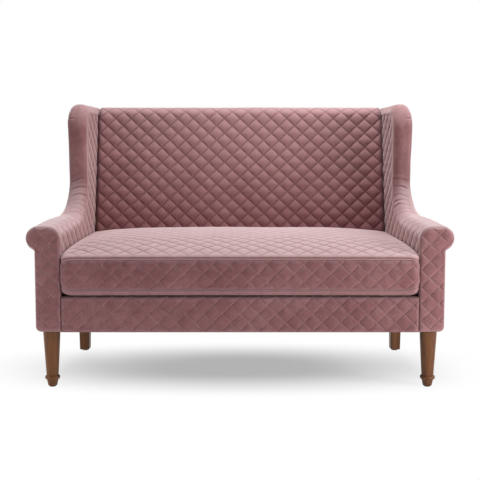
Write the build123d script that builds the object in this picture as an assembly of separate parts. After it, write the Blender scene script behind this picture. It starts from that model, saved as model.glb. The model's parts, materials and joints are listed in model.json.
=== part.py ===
from build123d import *
import os
from math import atan2, cos, degrees, radians, sin, sqrt, tan

# A two-seater wing settee on turned legs, in millimetres and degrees.
# X runs across the seat, Y from the front to the back, Z up from the floor.
# "depth" is measured back from the arm fronts, "out" outwards from a side's inner face,
# and "layer" forwards from the rear face of the leaning back.
# A side is drawn square and then turned in by the splay; the left side mirrors the right.

# Seat and plan
seat_width = 1219.0  # between the arms, at their fronts
splay = 3.8  # each side turns in towards the back
leg_height = 200.0  # floor to the underside of the frame
rail_height = 126.0  # underside of the frame to the top of the deck
cushion_border = 129.0  # bottom seam to top seam
cushion_crown = 42.0  # rise of the cushion above its top seam, at the middle
crown_at_ends = 0.5  # share of that rise left at the ends
cushion_proud = 8.0  # cushion ahead of the arm fronts
cushion_draw = 4.0  # front pulled in between its corners
border_bulge = 5.0  # border bowed out between its seams
cushion_gap = 3.0  # cushion to arms and back
cushion_rest = 0.5  # cushion above the deck

# Arms and wings
arm_width = 88.0
arm_height = 561.0
arm_rise = 12.0  # arm top, from its front to the wing
roll_radius = 41.0
roll_overhang = 29.0  # roll outside the arm's side
roll_tilt = 17.0  # the roll leans in as it runs up the wing
roll_climb = 200.0  # how far the roll runs up inside the wing
wing_setback = 420.0
wing_sweep = 130.0  # hollow from the arm top to the wing front
wing_height = 982.0
wing_fall = 15.0  # wing top, from its crest to the back
wing_crest_radius = 90.0  # rounding of the wing's top front corner
wing_thickness = 72.0  # at the top
wing_waist = 66.0  # at its thinnest
waist_height = 690.0
waist_round = 150.0
inner_round = 30.0  # inner edge of the arm and the wing
foot_round = 17.0  # lower outer edge of the arm

# Back
back_height = 967.0
back_thickness = 120.0
recline = 11.6
back_foot = 625.0  # depth of the rear face at the underside of the frame
back_round = 45.0  # top front edge

# Layers
cover = 6.0  # velvet on wadding
quilt = 10.0  # quilted velvet
outside_panel = 4.0
lining = 1.5  # dust cover
fit = 0.3  # one layer clear of the next
diamond_width = 62.0  # quilting, along its diagonals
diamond_height = 58.5
channel_width = 8.0  # sewn channel between diamonds
channel_depth = 3.0
back_crossing = 54.0  # first crossing on the middle line, below the top of the back
border_crossing = 63.0  # the same on the front border, above its lower edge

# Timber and boards
board = 25.0
ply = 18.0
block_width = 48.0
post_width = 34.0
post_layer = 45.0  # back posts, front to rear
arm_rail_width = 36.0
arm_rail_height = 45.0
front_block_out = 20.0
back_block_out = 26.0
side_rail_out = 33.0
post_out = 24.0
wing_board_out = 38.0
pad_out = 33.0  # outer face of the inside arm pad
front_pad_depth = 16.0
rail_below_top = 75.0  # height of the rails in the back
stay_spacing = 400.0  # stretchers and back stays
stretcher_height = 60.0

# Suspension
deck_pad_height = 12.0
deck_cover_height = 2.0
seat_strap_count = 10
strap_count = 5
strap_width = 60.0
strap_height = 2.5

# Legs
leg_top_radius = 30.0
leg_neck_radius = 20.7
bead_radius = 26.0
bead_height = 15.0
foot_height = 21.0
foot_radius = 20.0
toe_radius = 15.5
front_leg_depth = 50.0
back_leg_top = 44.0
back_leg_toe = 37.0
back_leg_inset = 37.0  # ahead of the back's rear face
back_leg_chamfer = 3.0
glide_height = 4.0
glide_radius = 11.0
bolt_radius = 4.0
bolt_in_leg = 45.0
bolt_in_block = 55.0
insert_radius = 6.0
insert_length = 25.0
screw_radius = 2.5
screw_head = 5.0
screw_length = 36.0

# Cushion case and its zip
case = 6.0
zip_length = 900.0
zip_height = 40.0
zip_recess = 5.0
tape_height = 24.0
tape_thickness = 1.0
coil_height = 5.0
coil_thickness = 1.4
slider_length = 12.0
slider_height = 10.0
slider_wall = 1.2
pull_length = 22.0
pull_width = 5.0

# Levels and planes that follow from the sizes above
reach = 2000.0  # far enough to cut right across
lean = radians(recline)
turn = radians(splay)
deck_top = leg_height + rail_height
deck_bottom = deck_top - deck_cover_height - deck_pad_height
rail_top = deck_bottom - strap_height
rail_bottom = leg_height + lining
cushion_bottom = deck_top + cushion_rest
cushion_seam = cushion_bottom + cushion_border
back_rise = back_height - leg_height - back_round - (back_thickness - back_round) * sin(lean)
back_length = back_rise / cos(lean) + back_round
overall_depth = cushion_proud + back_foot + back_length * sin(lean)
arm_front = cushion_proud - overall_depth / 2
back_leg_depth = back_foot - back_leg_inset
roll_out = arm_width + roll_overhang - roll_radius
roll_level = arm_height - roll_radius
roll_tuck = roll_level - sqrt(roll_radius ** 2 - (arm_width - roll_out) ** 2)
post_front = outside_panel + fit + post_layer
strap_front = post_front + fit + strap_height
inner = cover + fit
lining_out = arm_width - 2 * cover  # where the outside cover stops under the arm
arm_post_rear = inner + ply
wing_front = wing_setback + inner
front_rail_front = quilt + front_pad_depth
spring_rail_front = back_foot - post_front - board

nodes = {}


def pair(name, right):
    nodes["left_" + name] = mirror(right, about=Plane.YZ)
    nodes["right_" + name] = right


def block(x1, x2, y1, y2, z1, z2):
    middle = Pos((x1 + x2) / 2, (y1 + y2) / 2, (z1 + z2) / 2)
    return middle * Box(x2 - x1, y2 - y1, z2 - z1)


def to_side(shape):
    return Pos(seat_width / 2, arm_front, 0) * Rot(0, 0, splay) * shape


def to_back(shape):
    return Pos(0, arm_front + back_foot, leg_height) * Rot(-recline, 0, 0) * shape


def half_width(depth):
    return seat_width / 2 - depth * tan(turn)


def back_depth(level, layer):
    return back_foot + (level - leg_height) * tan(lean) - layer / cos(lean)


def back_slab(layer1, layer2, low=-reach, high=reach, half=reach):
    return to_back(block(-half, half, -layer2, -layer1, low, high))


def between_sides(out, depth1, depth2, low, high):
    # Space between the two planes that lie "out" from the sides' inner faces.
    slack = out / cos(turn)
    near = half_width(depth1) + slack
    far = half_width(depth2) + slack
    y1 = arm_front + depth1
    y2 = arm_front + depth2
    plan = make_face(Polyline((-near, y1), (near, y1), (far, y2), (-far, y2), close=True))
    return Pos(0, 0, low) * extrude(plan, high - low)


def side_slab(inset, rounded=True):
    # The flat body of an arm and its wing: its side view cut to its front view.
    low = leg_height + inset
    top = wing_height - inset
    rest = arm_height - inset
    front = wing_setback + inset
    end = reach / 2
    fall = wing_fall * (end - front) / (back_foot + back_length * sin(lean) - front)
    brow = FilletPolyline(
        (0, inset, rest),
        (0, front, rest + arm_rise),
        (0, front, top),
        (0, end, top - fall),
        radius=[wing_sweep + inset, wing_crest_radius - inset],
    )
    base = Polyline((0, end, top - fall), (0, end, low), (0, inset, low), (0, inset, rest))
    slab = extrude(make_face([brow, base]), reach / 4, dir=(1, 0, 0))
    flank = FilletPolyline(
        (inset, 0, low),
        (arm_width - inset, 0, low),
        (arm_width - inset, 0, roll_tuck),
        (wing_waist - inset, 0, waist_height),
        (wing_thickness - inset, 0, wing_height),
        radius=[foot_round - inset, waist_round, waist_round],
    )
    face = Polyline((wing_thickness - inset, 0, wing_height), (inset, 0, wing_height), (inset, 0, low))
    slab = slab & extrude(make_face([flank, face]), end, dir=(0, 1, 0))
    if rounded:
        rim = slab.edges().filter_by_position(Axis.X, inset - 0.01, inset + 0.01)
        rim = rim.filter_by_position(Axis.Z, rest - 1, reach).filter_by_position(Axis.Y, inset, end - 1)
        slab = fillet(rim, inner_round - inset)
    return slab


def arm_roll(inset):
    # The rolled arm top: along the arm, round the hollow and up into the wing.
    tilt = radians(roll_tilt)
    bend = wing_sweep + roll_radius
    knee = Vector(roll_out, wing_setback + roll_radius, roll_level + arm_rise)
    start = Vector(roll_out, inset, roll_level)
    crown = knee + Vector(-sin(tilt), 0, cos(tilt)) * (bend + roll_climb)
    path = FilletPolyline(start, knee, crown, radius=bend)
    ring = Plane(origin=start, z_dir=path % 0) * Circle(roll_radius - inset)
    return sweep(ring, path) & block(inset, reach, inset, reach, 0, wing_height - inset)


def side_form(inset):
    return side_slab(inset) + arm_roll(inset)


def side_covers():
    shell = side_form(0) - side_form(cover)
    facing = block(-reach, reach, -reach, cover, 0, reach)
    wing_strip = block(inner_round, wing_thickness + roll_overhang, 0, wing_setback + cover,
                       waist_height + inner_round, wing_height - wing_crest_radius)
    flank = block(lining_out, reach, cover, reach, 0, roll_tuck)
    flank += block(wing_waist - 2 * cover, reach, wing_setback + 2 * roll_radius + cover, reach,
                   roll_tuck, wing_height - wing_crest_radius / 2)
    ahead = back_slab(outside_panel + fit, reach)
    post_top = leg_height + (back_length - board) * cos(lean) + post_front * sin(lean) + fit
    tuck = to_side(block(-reach, pad_out, 0, reach, 0, post_top)) & back_slab(-reach, strap_front)
    tuck += to_side(block(-reach, lining_out, cover, reach, 0, rail_top + fit))
    pair("arm_facing", to_side(shell & facing))
    shell = shell - facing
    pair("wing_facing", to_side(shell & wing_strip))
    shell = shell - wing_strip
    pair("outside_arm", to_side(shell & flank) & ahead)
    pair("inside_arm", (to_side(shell - flank) & ahead) - tuck)


def side_frame():
    core = side_form(inner)
    post = core & block(0, reach, inner, arm_post_rear, rail_bottom, reach)
    front_block = block(front_block_out, front_block_out + block_width, arm_post_rear,
                        arm_post_rear + block_width, rail_bottom, rail_top)
    screws = []
    for level in (rail_bottom + rail_height / 4, rail_bottom + rail_height / 2):
        axis = Pos(front_block_out + block_width / 2, inner, level) * Rot(-90, 0, 0)
        shank = Cylinder(screw_radius, screw_length, align=(Align.CENTER, Align.CENTER, Align.MIN))
        head = Cone(screw_head, screw_radius, screw_head - screw_radius,
                    align=(Align.CENTER, Align.CENTER, Align.MIN))
        screws.append(axis * (shank + head))
    for screw in screws:
        post = post - screw
        front_block = front_block - screw
    pair("arm_post", to_side(post))
    right = [to_side(screw) for screw in screws]
    nodes["post_screws"] = Compound(right + [mirror(screw, about=Plane.YZ) for screw in right])

    front_bore = leg_bore(front_block_out + block_width / 2, front_leg_depth)
    pair("front_block", to_side(front_block - front_bore))
    back_block = block(back_block_out, back_block_out + block_width, spring_rail_front, reach,
                       rail_bottom, rail_top)
    back_bore = leg_bore(back_block_out + block_width / 2, back_leg_depth)
    pair("back_block", to_side(back_block - back_bore) & back_slab(outside_panel + fit, reach))
    pair("side_rail", to_side(block(side_rail_out, side_rail_out + board, arm_post_rear + block_width,
                                    spring_rail_front, rail_bottom, rail_top)))

    rail_low = roll_level - arm_rail_height / 2
    arm_rail = block(wing_board_out - fit, wing_board_out - fit + arm_rail_width, arm_post_rear, wing_front,
                     rail_low, rail_low + arm_rail_height)
    pair("arm_rail", to_side(arm_rail))
    wing_zone = block(wing_board_out, wing_board_out + ply, wing_front, reach, rail_top, reach)
    pair("wing_board", to_side(core & wing_zone) & back_slab(post_front, reach))
    post_zone = block(post_out, post_out + post_width, 0, reach, rail_top, reach)
    pair("back_post", to_side(post_zone) & back_slab(outside_panel + fit, post_front, high=back_length - board))

    pad_zone = block(0, pad_out, arm_post_rear + fit, reach, rail_top + fit, reach)
    pair("arm_pad", to_side(side_slab(inner) & pad_zone) & back_slab(strap_front + fit, reach))
    roll_zone = block(pad_out + fit, reach, arm_post_rear + fit, wing_front - fit, 0, reach)
    pair("roll_pad", to_side((arm_roll(inner) & roll_zone) - arm_rail))


def leg_bore(out, depth):
    bore = Pos(out, depth, rail_bottom) * Cylinder(
        insert_radius, insert_length, align=(Align.CENTER, Align.CENTER, Align.MIN))
    hole = Pos(out, depth, rail_bottom) * Cylinder(
        bolt_radius + fit, bolt_in_block + fit, align=(Align.CENTER, Align.CENTER, Align.MIN))
    return bore + hole


def leg_sockets():
    return ((front_block_out + block_width / 2, front_leg_depth),
            (back_block_out + block_width / 2, back_leg_depth))


def cross_frame():
    nodes["front_rail"] = between_sides(front_block_out, front_rail_front, front_rail_front + board,
                                        rail_bottom, rail_top)
    nodes["spring_rail"] = between_sides(back_block_out, spring_rail_front, spring_rail_front + board,
                                         rail_bottom, rail_top)
    gap = between_sides(post_out, 0, reach / 2, 0, reach)
    low = (rail_top - leg_height) / cos(lean)
    under = between_sides(back_block_out, 0, reach / 2, rail_bottom, rail_top)
    nodes["back_rail"] = back_slab(outside_panel + fit, outside_panel + fit + board) & under
    rear = (outside_panel + fit, outside_panel + fit + board)
    top_low = back_length - board - rail_below_top
    nodes["back_top_rail"] = back_slab(*rear, top_low, top_low + rail_below_top) & gap
    seat_low = low + rail_below_top
    nodes["back_lower_rail"] = back_slab(*rear, seat_low, seat_low + rail_below_top) & gap
    stays = []
    stretchers = []
    for side in (-1, 1):
        x = side * stay_spacing / 2
        stay = block(x - board, x + board, -rear[1], -rear[0], seat_low + rail_below_top, top_low)
        stays.append(to_back(stay))
        stretchers.append(block(x - board / 2, x + board / 2, arm_front + front_rail_front + board,
                                arm_front + spring_rail_front, rail_bottom, rail_bottom + stretcher_height))
    nodes["back_stays"] = Compound(stays)
    nodes["seat_stretchers"] = Compound(stretchers)


def suspension():
    lengthways = []
    spacing = 2 * half_width(back_foot) / (seat_strap_count + 1)
    for index in range(seat_strap_count):
        x = (index - (seat_strap_count - 1) / 2) * spacing
        lengthways.append(block(x - strap_width / 2, x + strap_width / 2, arm_front + front_rail_front,
                                arm_front + spring_rail_front + board, rail_top, deck_bottom))
    nodes["seat_webbing"] = Compound(lengthways)

    pad_top = deck_bottom + deck_pad_height
    rear = spring_rail_front + board
    nodes["deck_pad"] = between_sides(-fit, quilt + fit, rear, deck_bottom, pad_top)
    nodes["deck_cover"] = between_sides(-fit, quilt + fit, rear, pad_top, deck_top)

    strap_gap = between_sides((post_out + wing_board_out) / 2, 0, reach / 2, 0, reach)
    low = (rail_top - leg_height) / cos(lean) + rail_below_top
    step = (back_length - board - low) / strap_count
    straps = []
    for index in range(strap_count):
        middle = low + (index + 0.5) * step
        strap = back_slab(post_front, post_front + strap_height, middle - strap_width / 2,
                          middle + strap_width / 2)
        straps.append(strap & strap_gap)
    nodes["back_webbing"] = Compound(straps)


def back_form(inset):
    front = -back_thickness + inset
    rear = -outside_panel - fit
    top = back_length - inset
    brow = FilletPolyline((0, front, 0), (0, front, top), (0, rear, top), radius=[back_round - inset])
    base = Polyline((0, rear, top), (0, rear, 0), (0, front, 0))
    return to_back(Pos(-reach / 2, 0, 0) * extrude(make_face([brow, base]), reach, dir=(1, 0, 0)))


def channels(face, level, rows):
    # Sewn channels along both diagonals of the diamonds, on a face that looks forwards.
    vee = make_face(Polyline((0, face - channel_depth, -channel_width), (0, face + channel_depth, 0),
                             (0, face - channel_depth, channel_width), close=True))
    bar = Pos(-reach / 2, 0, 0) * extrude(vee, reach, dir=(1, 0, 0))
    slope = degrees(atan2(diamond_height, diamond_width))
    bars = []
    for way in (-slope, slope):
        for row in range(-rows, rows + 1):
            bars.append(Pos(row * diamond_width, 0, level) * Rot(0, way, 0) * bar)
    return bars


def back_upholstery():
    room = between_sides(-fit, 0, reach / 2, deck_top + fit, reach)
    face = back_form(0) & room
    inside = (face - back_form(quilt)) - back_slab(-reach, strap_front, -reach, back_length - quilt)
    rows = int(half_width(0) / diamond_width + back_length / diamond_height)
    sewn = channels(-back_thickness, back_length - back_crossing, rows)
    nodes["inside_back"] = inside - [to_back(bar) for bar in sewn]
    nodes["back_foam"] = back_form(quilt + fit) & room & back_slab(strap_front, reach)
    side = to_side(side_slab(0, rounded=False))
    rear_view = between_sides(fit, 0, reach / 2, leg_height, reach) + side + mirror(side, about=Plane.YZ)
    nodes["outside_back"] = rear_view & back_slab(0, outside_panel, 0, back_length)


def front_and_base():
    rows = int(half_width(0) / diamond_width + rail_height / diamond_height)
    border = between_sides(-fit, 0, quilt, leg_height, deck_top)
    nodes["front_border"] = border - channels(arm_front, leg_height + border_crossing, rows)
    nodes["front_pad"] = between_sides(-fit, quilt, front_rail_front, rail_bottom, deck_bottom)
    base = between_sides(lining_out - fit, quilt + fit, reach / 2, leg_height, rail_bottom)
    base = base & back_slab(outside_panel + fit, reach)
    for out, depth in leg_sockets():
        hole = to_side(Pos(out, depth, leg_height) * Cylinder(bolt_radius + fit, 4 * lining))
        base = base - hole - mirror(hole, about=Plane.YZ)
    nodes["dust_cover"] = base


def legs():
    bead_low = foot_height + glide_height
    bead_high = bead_low + bead_height
    bead = ThreePointArc((foot_radius, 0, bead_low), (bead_radius, 0, (bead_low + bead_high) / 2),
                         (leg_neck_radius, 0, bead_high))
    outline = Polyline((leg_neck_radius, 0, bead_high), (leg_top_radius, 0, leg_height), (0, 0, leg_height),
                       (0, 0, glide_height), (toe_radius, 0, glide_height), (foot_radius, 0, bead_low))
    turned = revolve(make_face([bead, outline]), Axis.Z)
    top = Pos(0, 0, leg_height) * Rectangle(back_leg_top, back_leg_top)
    toe = Pos(0, 0, glide_height) * Rectangle(back_leg_toe, back_leg_toe)
    square = loft([toe, top])
    square = chamfer(square.edges() - square.faces().sort_by(Axis.Z)[-1].edges(), back_leg_chamfer)
    bore = Pos(0, 0, leg_height - bolt_in_leg) * Cylinder(
        bolt_radius + fit, bolt_in_leg, align=(Align.CENTER, Align.CENTER, Align.MIN))
    front, back = leg_sockets()
    pair("front_leg", to_side(Pos(front[0], front[1], 0) * (turned - bore)))
    pair("back_leg", to_side(Pos(back[0], back[1], 0) * (square - bore)))
    bolts = []
    inserts = []
    glides = []
    for out, depth in leg_sockets():
        bolt = Pos(out, depth, leg_height - bolt_in_leg) * Cylinder(
            bolt_radius, bolt_in_leg + bolt_in_block, align=(Align.CENTER, Align.CENTER, Align.MIN))
        ring = Pos(out, depth, rail_bottom) * (
            Cylinder(insert_radius, insert_length, align=(Align.CENTER, Align.CENTER, Align.MIN))
            - Cylinder(bolt_radius + fit, insert_length, align=(Align.CENTER, Align.CENTER, Align.MIN)))
        disc = Pos(out, depth, 0) * Cylinder(
            glide_radius, glide_height, align=(Align.CENTER, Align.CENTER, Align.MIN))
        for group, solid in ((bolts, bolt), (inserts, ring), (glides, disc)):
            right = to_side(solid)
            group.append(right)
            group.append(mirror(right, about=Plane.YZ))
    nodes["leg_bolts"] = Compound(bolts)
    nodes["leg_inserts"] = Compound(inserts)
    nodes["leg_glides"] = Compound(glides)


def cushion_form(inset):
    # Cross-sections from one end to the other, each with a bowed border and a crown.
    low = cushion_bottom + inset
    seam = cushion_seam - inset
    sections = []
    for share in (-1.0, -0.8, -0.4, 0.0, 0.4, 0.8, 1.0):
        front = inset - cushion_proud + cushion_draw * (1 - share ** 2)
        rear_low = back_depth(low, back_thickness) - cushion_gap - inset
        rear_seam = back_depth(seam, back_thickness) - cushion_gap - inset
        crown = seam + cushion_crown * (1 - (1 - crown_at_ends) * share ** 4)

        def point(depth, level):
            half = half_width(depth) - (cushion_gap + inset) / cos(turn)
            return (share * half, arm_front + depth, level)

        border = ThreePointArc(point(front + border_bulge, low), point(front, (low + seam) / 2),
                               point(front + border_bulge, seam))
        top = ThreePointArc(point(front + border_bulge, seam), point((front + rear_seam) / 2, crown),
                            point(rear_seam, seam))
        rest = Polyline(point(rear_seam, seam), point(rear_low, low), point(front + border_bulge, low))
        sections.append(make_face([border, top, rest]))
    return loft(sections)


def cushion():
    face = back_thickness + cushion_gap * cos(lean)
    middle = ((cushion_bottom + cushion_seam) / 2 - leg_height - face * sin(lean)) / cos(lean)
    recess = back_slab(face - 1, face + zip_recess, middle - zip_height / 2, middle + zip_height / 2,
                       zip_length / 2)
    nodes["cushion_cover"] = (cushion_form(0) - cushion_form(case)) - recess
    nodes["cushion_foam"] = cushion_form(case + fit)
    floor = face + zip_recess - fit
    half = zip_length / 2 - slider_length
    coil = floor - tape_thickness
    nodes["zip_tape"] = back_slab(coil, floor, middle - tape_height / 2, middle + tape_height / 2, half)
    nodes["zip_coil"] = back_slab(coil - coil_thickness, coil, middle - coil_height / 2,
                                  middle + coil_height / 2, half)
    slider_face = coil - coil_thickness - fit
    body = block(0, slider_length, -coil + fit, -slider_face + slider_wall, middle - slider_height / 2,
                 middle + slider_height / 2)
    groove = block(-1, slider_length + 1, -coil, -slider_face, middle - coil_height / 2 - fit,
                   middle + coil_height / 2 + fit)
    pull_x = slider_length / 2
    pull = block(pull_x - pull_width / 2, pull_x + pull_width / 2, -slider_face, -slider_face + slider_wall,
                 middle - slider_height / 2 - pull_length + slider_height, middle)
    nodes["zip_slider"] = to_back(Pos(-half, 0, 0) * ((body - groove) + pull))


side_covers()
side_frame()
cross_frame()
suspension()
back_upholstery()
front_and_base()
legs()
cushion()

os.makedirs("parts", exist_ok=True)
for name, shape in nodes.items():
    export_step(shape, "parts/" + name + ".step")
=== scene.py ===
import json
import math
import bpy
import bmesh
from mathutils import Matrix, Vector, kdtree, noise


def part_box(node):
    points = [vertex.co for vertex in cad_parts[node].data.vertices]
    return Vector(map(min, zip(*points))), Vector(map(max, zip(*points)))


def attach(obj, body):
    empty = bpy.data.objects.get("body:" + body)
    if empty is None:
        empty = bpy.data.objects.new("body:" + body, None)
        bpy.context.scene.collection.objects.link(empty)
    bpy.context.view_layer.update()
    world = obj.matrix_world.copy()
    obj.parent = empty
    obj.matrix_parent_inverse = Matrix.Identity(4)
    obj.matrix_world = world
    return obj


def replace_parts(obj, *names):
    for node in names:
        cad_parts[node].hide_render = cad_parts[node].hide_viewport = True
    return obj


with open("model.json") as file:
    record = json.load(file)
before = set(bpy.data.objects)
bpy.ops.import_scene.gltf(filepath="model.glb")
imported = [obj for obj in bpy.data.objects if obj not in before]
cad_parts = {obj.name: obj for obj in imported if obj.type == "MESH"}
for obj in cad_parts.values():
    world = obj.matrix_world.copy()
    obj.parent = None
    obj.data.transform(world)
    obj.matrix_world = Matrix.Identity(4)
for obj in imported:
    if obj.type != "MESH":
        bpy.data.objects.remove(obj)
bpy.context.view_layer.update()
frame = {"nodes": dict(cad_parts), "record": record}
nodes = frame["nodes"]
scene = bpy.context.scene
scene.view_settings.view_transform = "Standard"
print("frame:", len(nodes), "CAD nodes")

# places that every piece shares, in metres, read from the frame
borderLow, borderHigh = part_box("front_border")
armFront = borderLow.y
legHeight = borderLow.z
deckTop = borderHigh.z
sofa = {
    "splay": math.radians(3.8),           # each side turns in towards the back
    "lean": math.radians(11.6),           # recline of the back
    "seatHalf": borderHigh.x + 0.0003,    # half the room between the arms at their front
    "backFoot": 0.625,                    # rear face of the back at the underside
    "backThick": 0.120,
    "backRound": 0.045,
    "backCloth": 0.004,                   # thickness of the outside back
}
cosTurn, sinTurn, tanTurn = math.cos(sofa["splay"]), math.sin(sofa["splay"]), math.tan(sofa["splay"])
cosLean, sinLean, tanLean = math.cos(sofa["lean"]), math.sin(sofa["lean"]), math.tan(sofa["lean"])
backLength = (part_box("outside_back")[1].z - legHeight - sofa["backCloth"] * sinLean) / cosLean


def sidePoint(side, out, depth, level):
    x = sofa["seatHalf"] + cosTurn * out - sinTurn * depth
    return Vector((side * x, armFront + sinTurn * out + cosTurn * depth, level))


def backPoint(across, layer, rise):
    y = armFront + sofa["backFoot"] + rise * sinLean - layer * cosLean
    return Vector((across, y, legHeight + rise * cosLean + layer * sinLean))


def halfWidth(depth):
    return sofa["seatHalf"] - depth * tanTurn


def ease(low, high, value):
    share = min(1.0, max(0.0, (value - low) / (high - low)))
    return share * share * (3 - 2 * share)


def mixed(first, last, share):
    return first + (last - first) * share


def turnedEdge(distance, radius):
    # how far a rounded edge has dropped at this distance in from it
    if distance >= radius:
        return 0.0
    rest = radius - max(0.0, distance)
    return radius - math.sqrt(max(0.0, radius * radius - rest * rest))


# quilting, shared by every velvet piece
quilt = {
    "across": 0.062, "up": 0.0585,         # size of a diamond
    "gather": 0.09,                        # how far the mesh closes up towards the stitch lines
    "stitches": 11,                        # along one side of a diamond
    "wander": 0.0012, "wanderScale": 9,    # the lines don't run quite straight
    "fullness": 0.22,                      # the diamonds aren't all filled alike
}
pitch = quilt["across"] * quilt["up"] / math.hypot(quilt["across"], quilt["up"])


def puff(u, v, seed):
    # 0 on the stitch lines and about 1 in the middle of a diamond
    scale = quilt["wanderScale"]
    u += quilt["wander"] * noise.noise((u * scale, v * scale, seed))
    v += quilt["wander"] * noise.noise((u * scale, v * scale, seed + 7))
    a = u / quilt["across"] + v / quilt["up"]
    b = u / quilt["across"] - v / quilt["up"]
    height = abs(math.sin(math.pi * a) * math.sin(math.pi * b)) ** 0.5
    fullness = 1 + quilt["fullness"] * noise.noise((math.floor(a) * 1.7 + seed, math.floor(b) * 2.3, 0.5))
    return height * fullness


def quiltGrid(low, high, origin, cuts):
    # a grid whose edges run along the stitch lines, closer together beside them
    reach = max(abs(u - origin[0]) / quilt["across"] + abs(v - origin[1]) / quilt["up"]
                for u in (low[0], high[0]) for v in (low[1], high[1]))
    reach = math.ceil(reach)
    bm = bmesh.new()
    bmesh.ops.create_grid(bm, x_segments=2 * reach * cuts, y_segments=2 * reach * cuts, size=reach)
    for vert in bm.verts:
        vert.co.x -= quilt["gather"] * math.sin(2 * math.pi * vert.co.x)
        vert.co.y -= quilt["gather"] * math.sin(2 * math.pi * vert.co.y)
    wide, tall = quilt["across"] / 2, quilt["up"] / 2
    lay = Matrix(((wide, wide, 0, origin[0]), (tall, -tall, 0, origin[1]), (0, 0, 1, 0), (0, 0, 0, 1)))
    bmesh.ops.transform(bm, matrix=lay, verts=bm.verts)
    for point, away in (((low[0], 0, 0), (-1, 0, 0)), ((high[0], 0, 0), (1, 0, 0)),
                        ((0, low[1], 0), (0, -1, 0)), ((0, high[1], 0), (0, 1, 0))):
        trim(bm, point, away)
    return bm


def trim(bm, point, away, clear=True):
    # cuts along a plane and clears what lies beyond, or only adds a line of edges
    geom = bm.verts[:] + bm.edges[:] + bm.faces[:]
    bmesh.ops.bisect_plane(bm, geom=geom, dist=1e-6, plane_co=point, plane_no=away, clear_outer=clear)


def plainGrid(rows, columns):
    bm = bmesh.new()
    bmesh.ops.create_grid(bm, x_segments=rows, y_segments=columns, size=0.5)
    bm.verts.index_update()
    return bm


def trimToShape(bm, distance):
    # keeps the faces inside an outline given by its signed distance, and pulls the rim onto it
    outside = [face for face in bm.faces if all(distance(v.co.x, v.co.y) > 0 for v in face.verts)]
    bmesh.ops.delete(bm, geom=outside, context="FACES")
    step = 1e-5
    for vert in bm.verts:
        for turn in range(3):
            gap = distance(vert.co.x, vert.co.y)
            if gap <= 0:
                break
            slopeX = (distance(vert.co.x + step, vert.co.y) - gap) / step
            slopeY = (distance(vert.co.x, vert.co.y + step) - gap) / step
            vert.co.x -= gap * slopeX
            vert.co.y -= gap * slopeY


def keepFlat(bm, origin=(0, 0), flat=None, sewn=None, seams=None):
    # the flat pattern goes into a UV map, in metres from a crossing; attributes keep how far it is
    # sewn and the distance to the nearest seam, which places painted shade and painted sheen along the seams
    bm.verts.index_update()
    for name in ("sewn", "seam"):
        bm.verts.layers.float.new(name)
    share, seam = bm.verts.layers.float["sewn"], bm.verts.layers.float["seam"]
    layer = bm.loops.layers.uv.new("quilt")
    for vert in bm.verts:
        vert[share] = sewn[vert.index] if sewn else 1.0
        vert[seam] = seams[vert.index] if seams else 1.0
    for face in bm.faces:
        for loop in face.loops:
            spot = flat[loop.vert.index] if flat else loop.vert.co
            loop[layer].uv = (spot[0] - origin[0], spot[1] - origin[1])
    return seam


def meshOf(bm, name):
    mesh = bpy.data.meshes.new(name)
    bm.to_mesh(mesh)
    bm.free()
    return mesh


def placed(name, data):
    holder = bpy.data.objects.new(name, data)
    scene.collection.objects.link(holder)
    return holder


def finished(bm, name, material, body="frame", outward=None):
    bmesh.ops.recalc_face_normals(bm, faces=bm.faces)
    if outward is not None:
        total = Vector()
        for face in bm.faces:
            total += face.normal * face.calc_area()
        if total.dot(Vector(outward)) < 0:
            bmesh.ops.reverse_faces(bm, faces=bm.faces)
    for face in bm.faces:
        face.smooth = True
    piece = placed(name, meshOf(bm, name))
    piece.data.materials.append(material)
    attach(piece, body)
    return piece


def padded(bm, name, material, outward=None, body="frame"):
    piece = finished(bm, name, material, body=body, outward=outward)
    return piece


def roundedPath(corners, radii, step, closed=False):
    # points and outward (right-hand) normals along straight runs joined by arcs
    count = len(corners)
    ends = []
    for i in range(count):
        here = Vector(corners[i])
        radius = radii[i]
        if radius <= 0:
            ends.append((here, here, None, 0, 0))
            continue
        back = (Vector(corners[i - 1]) - here).normalized()
        ahead = (Vector(corners[(i + 1) % count]) - here).normalized()
        half = back.angle(ahead) / 2
        reach = radius / math.tan(half)
        middle = here + (back + ahead).normalized() * (radius / math.sin(half))
        bend = 1 if back.x * ahead.y - back.y * ahead.x < 0 else -1
        ends.append((here + back * reach, here + ahead * reach, middle, radius, bend))
    points = []
    for i in range(count):
        first, last, middle, radius, bend = ends[i]
        if middle is not None:
            start = first - middle
            turn = start.angle(last - middle)
            pieces = max(4, round(radius * turn / step))
            for k in range(pieces):
                spoke = Matrix.Rotation(bend * turn * k / pieces, 2) @ start
                points.append((middle + spoke, spoke.normalized() * bend))
        if i < count - 1 or closed:
            run = ends[(i + 1) % count][0] - last
            pieces = max(1, round(run.length / step))
            way = run.normalized()
            points += [(last + run * (k / pieces), Vector((way.y, -way.x))) for k in range(pieces)]
    if not closed:
        points.append((ends[-1][0].copy(), points[-1][1].copy()))
    return points


def tone(red, green, blue):
    def linear(value):
        value /= 255
        return value / 12.92 if value <= 0.04045 else ((value + 0.055) / 1.055) ** 2.4
    return (linear(red), linear(green), linear(blue), 1)


# shader maths on sockets
class Wire:
    def __init__(self, tree, socket):
        self.tree, self.socket = tree, socket

    def math(self, operation, *others):
        node = self.tree.nodes.new("ShaderNodeMath")
        node.operation = operation
        for slot, value in zip(node.inputs, (self,) + others):
            if isinstance(value, Wire):
                self.tree.links.new(value.socket, slot)
            else:
                slot.default_value = value
        return Wire(self.tree, node.outputs[0])

    def __add__(self, other):
        return self.math("ADD", other)

    def __sub__(self, other):
        return self.math("SUBTRACT", other)

    def __rsub__(self, other):
        return self.math("MULTIPLY_ADD", -1, other)

    def __mul__(self, other):
        return self.math("MULTIPLY", other)

    def __truediv__(self, other):
        return self.math("DIVIDE", other)

    __radd__ = __add__


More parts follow.
